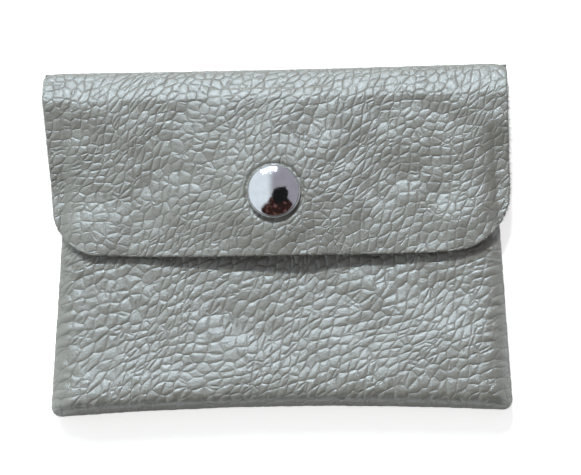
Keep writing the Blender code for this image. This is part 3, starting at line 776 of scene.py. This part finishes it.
def flap_leather():
    x, y = flap_plan(FLAP_COUNTS)
    fold, angles = fold_rows(x[-1], math.pi, math.pi / 2, UPPER_FOLD_STEPS)
    face = np.concatenate([xyz(x, y, flap_height(x, y)), fold])
    top = FOLD_Y + FOLD_RADIUS * math.pi
    flat_y = np.concatenate([top + FOLD_Y - y, FOLD_Y + FOLD_RADIUS * angles[:, None] + 0 * fold[..., 0]])
    sheet = Leather(face, lay_grain(face[..., 0], flat_y, **BACK_GRAIN))
    sheet.flesh(sheet.rim(), row_step=8, skirt_step=4)
    sheet.fibres(FIBRE_COUNT, 8, lambda point: point[:, 1] < FOLD_Y)
    return sheet.build("flap_leather")


def stitch(start, run, edge_x, edge_y):
    """Rings of points round one stitch, which dives into the seam at both ends."""
    shares = np.linspace(0, 1, STITCH_RINGS)
    places = start + shares * STITCH_LENGTH
    ahead = places + STITCH_STEP
    x, y = np.interp(places, run, edge_x), np.interp(places, run, edge_y)
    along = unit(np.stack([np.interp(ahead, run, edge_x) - x, np.interp(ahead, run, edge_y) - y], axis=1))
    fullness = np.sin(np.pi * shares)
    dive = STITCH_DIVE * (1 - fullness ** 0.5)
    radius = THREAD_RADIUS * (0.35 + 0.65 * fullness ** 0.4)
    turns = np.arange(STITCH_SIDES) * 2 * math.pi / STITCH_SIDES
    rings = []
    for k in range(STITCH_RINGS):
        reach = dive[k] + radius[k] * np.cos(turns)
        ring_x, ring_y = x[k] - along[k, 1] * reach, y[k] + along[k, 0] * reach
        rings.append(xyz(ring_x, ring_y, SEAM_HEIGHT + radius[k] * np.sin(turns)))
    return rings


def seam_thread():
    """The stitches that show in the groove between the two rolls of the turned seams."""
    edge_x, edge_y = pouch_border(STITCH_INSET, FRONT_COUNTS)
    run = np.concatenate([[0], np.cumsum(np.hypot(np.diff(edge_x), np.diff(edge_y)))])
    index = np.arange(STITCH_RINGS * STITCH_SIDES).reshape(STITCH_RINGS, STITCH_SIDES)
    points, polygons = [], []
    for start in np.arange(STITCH_PITCH, run[-1] - STITCH_PITCH, STITCH_PITCH):
        base = STITCH_SIDES * len(points) + index
        points += stitch(start, run, edge_x, edge_y)
        around = np.concatenate([base, base[:, :1]], axis=1)
        polygons += quads(around).tolist() + [base[0, ::-1].tolist(), base[-1].tolist()]
    mesh = bpy.data.meshes.new("seam_thread")
    mesh.from_pydata(np.vstack(points).tolist(), [], polygons)
    mesh.polygons.foreach_set("use_smooth", np.ones(len(mesh.polygons), bool))
    return place_object("seam_thread", mesh)


# Nodes shared by the relief of the meshes and by the materials


class Nodes:
    """Adds and links nodes in a tree."""

    def __init__(self, tree):
        self.tree = tree

    def add(self, kind, settings=None, **inputs):
        made = self.tree.nodes.new(kind)
        for key, value in (settings or {}).items():
            setattr(made, key, value)
        return self.wire(made, **inputs)

    def wire(self, node, **inputs):
        """Sets or links inputs of a node by their names, with underscores for spaces."""
        for key, value in inputs.items():
            self.feed(node.inputs[key.replace("_", " ")], value)
        return node

    def feed(self, socket, value):
        if isinstance(value, bpy.types.NodeSocket):
            self.tree.links.new(value, socket)
        else:
            socket.default_value = value

    def math(self, operation, *values, kind="ShaderNodeMath"):
        made = self.add(kind, {"operation": operation})
        for socket, value in zip(made.inputs, values):
            self.feed(socket, value)
        return made.outputs[0]

    def vector(self, operation, *values):
        return self.math(operation, *values, kind="ShaderNodeVectorMath")

    def measure(self, operation, *vectors):
        """A length or a product of vectors."""
        return self.vector(operation, *vectors).node.outputs["Value"]

    def noise(self, place, scale, detail=2.0, roughness=0.5):
        inputs = dict(Vector=place, Scale=scale, Detail=detail, Roughness=roughness)
        return self.add("ShaderNodeTexNoise", **inputs).outputs

    def between(self, value, low, high, start=0.0, end=1.0):
        """A value moved smoothly from one range to another."""
        inputs = dict(Value=value, From_Min=low, From_Max=high, To_Min=start, To_Max=end)
        return self.add("ShaderNodeMapRange", {"interpolation_type": "SMOOTHSTEP"}, **inputs).outputs[0]

    def bump(self, height, distance):
        return self.add("ShaderNodeBump", Height=height, Distance=distance, Strength=1.0).outputs[0]

    def object_place(self):
        return self.add("ShaderNodeTexCoord").outputs["Object"]

    def cells(self, place, feature, randomness):
        settings = {"voronoi_dimensions": "2D", "feature": feature}
        inputs = dict(Vector=place, Scale=1.0, Randomness=randomness)
        return self.add("ShaderNodeTexVoronoi", settings, **inputs).outputs

    def parts(self, vector):
        return self.add("ShaderNodeSeparateXYZ", Vector=vector).outputs


def line_gap(nodes, place, cell, randomness):
    """How far, in millimetres, a place is from the nearest line of a net."""
    return nodes.math("MULTIPLY", nodes.cells(place, "DISTANCE_TO_EDGE", randomness)["Distance"], cell)


def bent_net(nodes, hide, net):
    """The net with its lines swayed and wobbled a little."""
    sway = nodes.vector("SUBTRACT", nodes.noise(hide, 0.2)["Color"], (0.5, 0.5, 0.5))
    wobble = nodes.vector("SUBTRACT", nodes.noise(hide, 0.6)["Color"], (0.5, 0.5, 0.5))
    place = nodes.vector("MULTIPLY_ADD", sway, (0.36, 0.36, 0), net)
    return nodes.vector("MULTIPLY_ADD", wobble, (0.2, 0.2, 0), place)


def crease_depth(nodes, own, other, steepness):
    """How deep the line between two pebbles is, by whether it is a low or a steep one."""
    across = nodes.vector("SUBTRACT", other["Position"], own["Position"])
    level = nodes.math("ABSOLUTE", nodes.parts(nodes.vector("NORMALIZE", across))["Y"])
    low_line = nodes.between(level, 0.45, 0.9)
    low_depth = nodes.between(steepness, 0.0, 1.0, 1.0, 0.7)
    steep_depth = nodes.between(steepness, 0.0, 1.0, 0.5, 1.0)
    depth = nodes.math("MULTIPLY", low_line, low_depth)
    return nodes.math("MULTIPLY_ADD", nodes.math("SUBTRACT", 1.0, low_line), steep_depth, depth)


def crease_net(nodes, hide, net):
    """The pebbles' own tones, the way from their middles, and each net's distance and depth of crease."""
    place = bent_net(nodes, hide, net)
    own, other = nodes.cells(place, "F1", UNEVEN), nodes.cells(place, "F2", UNEVEN)
    depth = crease_depth(nodes, own, other, nodes.parts(net)["Z"])
    patch = nodes.between(nodes.noise(hide, 0.3)[0], 0.35, 0.6, 0.6, 1.0)
    share = CELL / SLANT_CELL
    shrunk = nodes.vector("MULTIPLY", place, (share, share, 0))
    slanted = nodes.add("ShaderNodeVectorRotate", Vector=shrunk, Angle=SLANT_TURN)
    slant_patch = nodes.between(nodes.noise(hide, 0.25, 1.0)[0], 0.48, 0.6, 0.0, 0.75)
    lines = (
        (line_gap(nodes, place, CELL, UNEVEN), nodes.math("MULTIPLY", depth, patch)),
        (line_gap(nodes, slanted.outputs[0], SLANT_CELL, SLANT_UNEVEN), slant_patch),
    )
    return own["Color"], nodes.vector("SUBTRACT", place, own["Position"]), lines


def deepest(nodes, lines, profile):
    """The deeper of the two nets at each place, each by its distance and its own depth."""
    first, second = (nodes.math("MULTIPLY", profile(gap), depth) for gap, depth in lines)
    return nodes.math("MAXIMUM", first, second)


def pebble_relief(nodes, hide, net):
    """How high, in millimetres, the pebbles stand between the creases."""
    _, _, lines = crease_net(nodes, hide, net)
    pad = deepest(nodes, lines, lambda gap: nodes.between(gap, 0.0, PAD_WIDTH, 1.0, 0.0))
    swell = nodes.between(nodes.noise(net, 0.6, 3.0)[0], 0.25, 0.75, 0.0, PAD_HEIGHT)
    return nodes.math("MULTIPLY_ADD", pad, -PAD_HEIGHT, swell)


def named_value(nodes, key, kind):
    named = nodes.add("GeometryNodeInputNamedAttribute", {"data_type": kind}, Name=key)
    return named.outputs["Attribute"]


def relief_tree(sunk, share):
    """Nodes that move a grain side along its normals by its pebbles, as far as each point is grain."""
    tree = bpy.data.node_groups.new("relief", "GeometryNodeTree")
    for way in ("INPUT", "OUTPUT"):
        tree.interface.new_socket("Geometry", in_out=way, socket_type="NodeSocketGeometry")
    nodes = Nodes(tree)
    hide, net = (named_value(nodes, key, "FLOAT_VECTOR") for key in ("hide", "net"))
    height = nodes.math("SUBTRACT", nodes.math("MULTIPLY", pebble_relief(nodes, hide, net), share), sunk)
    height = nodes.math("MULTIPLY", nodes.math("MULTIPLY", height, named_value(nodes, "grain", "FLOAT")), MM)
    start, normal = (nodes.add(kind).outputs[0] for kind in ("NodeGroupInput", "GeometryNodeInputNormal"))
    step = nodes.add("ShaderNodeVectorMath", {"operation": "SCALE"}, Vector=normal, Scale=height)
    moved = nodes.add("GeometryNodeSetPosition", Geometry=start, Offset=step.outputs[0])
    nodes.add("NodeGroupOutput", Geometry=moved.outputs[0])
    return tree


def emboss(piece, sunk, share):
    """Raises a hide's grain side by a share of its pebbles' height, less some millimetres."""
    tree = relief_tree(sunk, share)
    piece.modifiers.new("relief", "NODES").node_group = tree
    keep_evaluated(piece)
    bpy.data.node_groups.remove(tree)


# Materials


def new_material(name):
    made = bpy.data.materials.new(name)
    made.use_nodes = True
    return made, Nodes(made.node_tree), made.node_tree.nodes["Principled BSDF"]


def mix(nodes, share, first, second):
    made = nodes.add("ShaderNodeMix", {"data_type": "RGBA", "clamp_factor": True})
    for socket, value in ((made.inputs[0], share), (made.inputs[6], first), (made.inputs[7], second)):
        nodes.feed(socket, value)
    return made.outputs[2]


def falling(nodes, width, power):
    """A profile that falls from one at a line to nothing at some distance from it."""
    def profile(gap):
        inward = nodes.math("SUBTRACT", 1.0, nodes.math("DIVIDE", gap, width))
        return nodes.math("POWER", nodes.math("MAXIMUM", inward, 0.0), power)
    return profile


def grain_bump(nodes, lines, crease, tilt, fine):
    """The finer form of the pebbles: creases, bevels beside them, rounded tops, tilts and wrinkles."""
    bevel = deepest(nodes, lines, falling(nodes, BEVEL_WIDTH, 1.3))
    dome = deepest(nodes, lines, falling(nodes, DOME_WIDTH, 2.0))
    height = nodes.math("MULTIPLY", crease, -0.03)
    for form, rise in ((bevel, -0.066), (dome, -0.1), (tilt, 0.15), (fine, 0.16)):
        height = nodes.math("MULTIPLY_ADD", form, rise, height)
    return nodes.bump(height, MM)


def grain_tone(nodes, own, crease, mottle, fine):
    """Sage grey that clouds from place to place, a little paler on some pebbles, with painted shade darkening
    the creases.
    """
    tone = mix(nodes, nodes.between(mottle, 0.3, 0.7), (0.227, 0.203, 0.163, 1), (0.25, 0.226, 0.184, 1))
    tone = mix(nodes, nodes.math("MULTIPLY", own, 0.3), tone, (0.277, 0.253, 0.209, 1))
    tone = mix(nodes, nodes.between(fine, 0.35, 0.8, 0.0, 0.22), tone, (0.205, 0.196, 0.168, 1))
    # Painted shade: the creases are darkened in the colour itself, standing in for the shade that falls into
    # them.
    return mix(nodes, nodes.math("MULTIPLY", crease, 0.2), tone, (0.085, 0.08, 0.068, 1))


def grain_roughness(nodes, net, crease, mottle, fine):
    """Smoother on the front hide than on the back one, and rougher in the creases."""
    rubbed = nodes.between(nodes.parts(net)["Z"], 0.4, 0.65, 0.29, 0.37)
    rough = nodes.math("MULTIPLY_ADD", crease, 0.25, nodes.between(mottle, 0.3, 0.7, rubbed, 0.38))
    return nodes.math("MULTIPLY_ADD", fine, 0.08, rough)


def grain_material():
    made, nodes, shader = new_material("grey_grain_leather")
    named = (nodes.add("ShaderNodeAttribute", {"attribute_name": key}) for key in ("hide", "net"))
    hide, net = (node.outputs["Vector"] for node in named)
    own, off_middle, lines = crease_net(nodes, hide, net)
    crease = deepest(nodes, lines, lambda gap: nodes.between(gap, 0.0, CREASE_WIDTH, 1.0, 0.0))
    tilt = nodes.measure("DOT_PRODUCT", off_middle, nodes.vector("SUBTRACT", own, (0.5, 0.5, 0.5)))
    fine = nodes.noise(hide, 1.9, 4.0, 0.68)[0]
    mottle = nodes.noise(hide, 0.09, 3.0, 0.6)[0]
    bump = grain_bump(nodes, lines, crease, tilt, fine)
    nodes.wire(
        shader,
        Base_Color=grain_tone(nodes, own, crease, mottle, fine),
        Roughness=grain_roughness(nodes, net, crease, mottle, fine),
        Specular_IOR_Level=1.0,
        # Painted highlight colour: the bluish specular tint stands in for the bluish window light that the
        # highlights reflect.
        Specular_Tint=(0.78, 0.91, 1.0, 1),
        Coat_Weight=0.75,
        Coat_IOR=1.7,
        Coat_Roughness=0.3,
        Normal=bump,
        Coat_Normal=bump,
    )
    return made


def flesh_material():
    made, nodes, shader = new_material("leather_flesh_side")
    place = nodes.object_place()
    nap = nodes.noise(place, 2600, 4.0, 0.7)[0]
    patches = nodes.noise(place, 160, 3.0, 0.6)[0]
    tone = mix(nodes, nodes.between(patches, 0.3, 0.7), (0.1, 0.09, 0.072, 1), (0.165, 0.152, 0.126, 1))
    tone = mix(nodes, nodes.between(nap, 0.45, 0.75), tone, (0.27, 0.255, 0.225, 1))
    bump = nodes.bump(nap, 0.12 * MM)
    nodes.wire(shader, Base_Color=tone, Roughness=0.92, Specular_IOR_Level=0.2, Sheen_Weight=0.25, Normal=bump)
    return made


def fibre_material():
    made, nodes, shader = new_material("leather_fibres")
    share = nodes.between(nodes.noise(nodes.object_place(), 900)[0], 0.35, 0.65)
    tone = mix(nodes, share, (0.13, 0.12, 0.1, 1), (0.5, 0.49, 0.45, 1))
    nodes.wire(shader, Base_Color=tone, Roughness=0.8)
    return made


def thread_material():
    made, nodes, shader = new_material("sewing_thread")
    twist = nodes.add("ShaderNodeTexWave", Vector=nodes.object_place(), Scale=900.0, Distortion=2.0)
    tone = mix(nodes, twist.outputs["Fac"], (0.2, 0.195, 0.17, 1), (0.36, 0.35, 0.31, 1))
    nodes.wire(shader, Base_Color=tone, Roughness=0.7)
    return made


def metal_material(name, colour, stain, roughness, scratch):
    """Plated metal with faint clouding and hair scratches."""
    made, nodes, shader = new_material(name)
    place = nodes.object_place()
    cloud = nodes.noise(place, 420, 3.0, 0.6)[0]
    streaks = nodes.vector("MULTIPLY", place, (500, 9000, 500))
    hair = nodes.between(nodes.noise(streaks, 1.0)[0], 0.62, 0.72)
    nodes.wire(
        shader,
        Base_Color=mix(nodes, nodes.between(cloud, 0.35, 0.8), colour, stain),
        Metallic=1.0,
        Roughness=nodes.between(cloud, 0.3, 0.8, roughness, roughness * 1.7),
        Normal=nodes.bump(hair, scratch * MM),
    )
    return made


# The snap


def lathe(name, profile, segments, finish, height):
    """A piece turned about the snap's axis, from a profile that leaves the axis and comes back to it."""
    mesh = bpy.data.meshes.new(name)
    links = [(k, k + 1) for k in range(len(profile) - 1)]
    mesh.from_pydata([(radius, 0, z) for radius, z in profile], links, [])
    made = place_object(name, mesh)
    made.location = (SNAP_X, SNAP_Y, height)
    spin = made.modifiers.new("turn", "SCREW")
    spin.steps = spin.render_steps = segments
    spin.use_merge_vertices = True
    spin.merge_threshold = 0.001 * MM
    spin.use_smooth_shade = True
    keep_evaluated(made)
    made.data.set_sharp_from_angle(angle=math.radians(50))
    made.data.materials.append(finish)
    return made


def arc(centre, radius, start, end, steps):
    """Points of a round stretch of a profile, angles in degrees from the outward direction."""
    turns = [math.radians(start + (end - start) * k / steps) for k in range(steps + 1)]
    return [(centre[0] + radius * math.cos(t), centre[1] + radius * math.sin(t)) for t in turns]


def bow(start, pull, end, steps):
    """Points of a bent stretch of a profile between two points, drawn towards a third."""
    shares = [k / steps for k in range(1, steps)]
    return [
        tuple((1 - s) ** 2 * a + 2 * s * (1 - s) * b + s * s * c for a, b, c in zip(start, pull, end))
        for s in shares
    ]


def cap_profile():
    """A shallow dome with a soft shoulder, a skirt that flares out, and a lip turned in under it."""
    rim = DOME_RADIUS - SHEET / 2
    curve = (rim * rim + CAP_DOME * CAP_DOME) / (2 * CAP_DOME)
    top = CAP_SKIRT + CAP_DOME
    last = math.asin((DOME_RADIUS - SHEET) / curve)
    angles = [last * k / 44 for k in range(45)]
    shell = [(curve * math.sin(a), top - curve * (1 - math.cos(a))) for a in angles]
    across, up = shell[-1]
    centre = (across - SHOULDER_RADIUS * math.sin(last), up - SHOULDER_RADIUS * math.cos(last))
    shoulder = arc(centre, SHOULDER_RADIUS, 90 - math.degrees(last), 8, 8)[1:]
    foot = arc((CAP_RADIUS - FOOT_RADIUS, FOOT_RADIUS), FOOT_RADIUS, 35, -90, 8)
    flare = bow(shoulder[-1], (shoulder[-1][0] + FLARE_OUT, FLARE_HEIGHT), foot[0], 6)
    lip = [(CAP_RADIUS - CAP_LIP, 0), (CAP_RADIUS - CAP_LIP, SHEET), (CAP_RADIUS - 1.5 * SHEET, SHEET)]
    under = [(radius, z - SHEET) for radius, z in shell if radius < DOME_RADIUS - 1.5 * SHEET]
    return shell + shoulder + flare + foot + lip + under[::-1]


# The stage


def paper_material():
    made, nodes, shader = new_material("white_paper")
    share = nodes.noise(nodes.object_place(), 90, 3.0)[0]
    rays = nodes.add("ShaderNodeLightPath").outputs
    seen = nodes.math("MAXIMUM", rays["Is Camera Ray"], rays["Is Transmission Ray"])
    nodes.wire(
        shader,
        Base_Color=mix(nodes, share, (0.87, 0.84, 0.79, 1), (0.9, 0.87, 0.82, 1)),
        Roughness=0.9,
        Specular_IOR_Level=0.0,
        Emission_Color=(1, 1, 1, 1),
        Emission_Strength=nodes.math("MULTIPLY", seen, 0.7),
    )
    return made


def floor():
    mesh = bpy.data.meshes.new("studio_floor")
    signs = ((-1, -1), (1, -1), (1, 1), (-1, 1))
    mesh.from_pydata([(FLOOR_HALF * x, FLOOR_HALF * y, 0) for x, y in signs], [], [(0, 1, 2, 3)])
    mesh.materials.append(paper_material())
    made = place_object("studio_floor", mesh)
    made.location.z = -FLOOR_GAP


def soft_light(name, place, size, power, colour):
    """A lamp that faces the middle of the purse."""
    data = bpy.data.lights.new(name, "AREA")
    data.shape = "RECTANGLE"
    data.size, data.size_y = size
    data.energy = power
    data.color = colour
    made = place_object(name, data)
    made.location = place
    made.rotation_mode = "QUATERNION"
    made.rotation_quaternion = (-Vector(place)).to_track_quat("-Z", "Y")


def blot(nodes, ragged, middle, spread, tone, colour):
    """A ragged ellipse of one colour over a tone, seen upward."""
    off = nodes.vector("SUBTRACT", ragged, middle)
    off = nodes.vector("DIVIDE", off, (*spread, 1000.0))
    inside = nodes.between(nodes.measure("LENGTH", off), 0.93, 1.07, 1.0, 0.0)
    return mix(nodes, inside, tone, colour)


def studio_world():
    """A room that is bright on the left and dim on the right, with whoever takes the picture in it."""
    world = bpy.data.worlds.new("studio")
    world.use_nodes = True
    bpy.context.scene.world = world
    nodes = Nodes(world.node_tree)
    background = world.node_tree.nodes["Background"]
    heading = nodes.add("ShaderNodeTexCoord").outputs["Generated"]
    side = nodes.between(nodes.parts(heading)["X"], -0.28, 0.0)
    tone = mix(nodes, side, (0.80, 0.88, 0.92, 1), (0.34, 0.33, 0.37, 1))
    uneven = nodes.vector("SUBTRACT", nodes.noise(heading, 4.5, 3.0)["Color"], (0.5, 0.5, 0.5))
    ragged = nodes.vector("MULTIPLY_ADD", uneven, (0.3, 0.3, 0), heading)
    glow = nodes.between(nodes.noise(heading, 9.0)[0], 0.52, 0.72)
    cloth = mix(nodes, glow, (0.03, 0.015, 0.013, 1), (0.26, 0.13, 0.11, 1))
    tone = blot(nodes, ragged, (0.08, -0.66, 0.8), (0.5, 0.56), tone, cloth)
    tone = blot(nodes, ragged, (0.15, -0.06, 0.97), (0.25, 0.26), tone, (0.012, 0.012, 0.013, 1))
    glossy = nodes.add("ShaderNodeLightPath").outputs["Is Glossy Ray"]
    nodes.wire(background, Color=tone, Strength=nodes.math("MULTIPLY_ADD", glossy, 0.28, 0.72))


def camera():
    data = bpy.data.cameras.new("camera")
    made = place_object("camera", data)
    down, right = (math.tan(math.radians(turn)) for turn in (90 - CAMERA_ELEVATION, CAMERA_AZIMUTH))
    back = Vector((right, -down, 1)).normalized()
    made.location = Vector(AIM) + back * CAMERA_DISTANCE
    half_width = PHOTO_WIDTH / 2 * MM_PER_PIXEL * MM
    data.sensor_width = SENSOR_WIDTH
    data.lens = SENSOR_WIDTH / 2 * CAMERA_DISTANCE / half_width
    made.rotation_mode = "QUATERNION"
    across = Vector((0, 1, 0)).cross(back).normalized()
    axes = Matrix((across, back.cross(across), back)).transposed()
    roll = Quaternion((0, 0, 1), math.radians(CAMERA_ROLL))
    made.rotation_quaternion = axes.to_quaternion() @ roll
    bpy.context.scene.camera = made


def dress_hides():
    """The three hides in place of the solids of the pouch, the fold and the flap."""
    finishes = grain_material(), flesh_material(), fibre_material()
    front, back, flap = front_leather(), back_leather(), flap_leather()
    reliefs = (0.0, FRONT_RELIEF_SHARE), (BACK_SUNK, BACK_RELIEF_SHARE), (0.0, BACK_RELIEF_SHARE)
    for piece, relief in zip((front, back, flap), reliefs):
        emboss(piece, *relief)
        for finish in finishes:
            piece.data.materials.append(finish)
    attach(front, "pouch")
    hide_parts("front_panel")
    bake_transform(back)
    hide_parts("back_panel", "flap_fold")
    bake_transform(flap)
    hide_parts("flap_panel", "flap_fold")


def dress_seams():
    thread = seam_thread()
    thread.data.materials.append(thread_material())
    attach(thread, "pouch")


def dress_snap():
    """A finer cap, and plating on the solids of the snap."""
    chrome = metal_material("chrome_plate", (0.82, 0.83, 0.86, 1), (0.74, 0.745, 0.78, 1), 0.05, 0.002)
    nickel = metal_material("nickel_plate", (0.62, 0.61, 0.58, 1), (0.5, 0.49, 0.46, 1), 0.22, 0.004)
    steel = metal_material("spring_wire", (0.45, 0.45, 0.46, 1), (0.36, 0.36, 0.37, 1), 0.3, 0.004)
    cap = lathe("chrome_cap", cap_profile(), 128, chrome, FLAP_SEAT + METAL_GAP)
    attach(cap, "flap")
    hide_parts("cap_shell")
    finishes = dict.fromkeys(("cap_post", "snap_socket", "snap_stud", "stud_post"), nickel)
    finishes["socket_spring"] = steel
    for name, finish in finishes.items():
        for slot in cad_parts[name].material_slots:
            slot.material = finish


dress_hides()
dress_seams()
dress_snap()
floor()
studio_world()
soft_light("window", **WINDOW)
soft_light("sky", **SKY)
camera()
bpy.context.scene.view_settings.view_transform = "Standard"
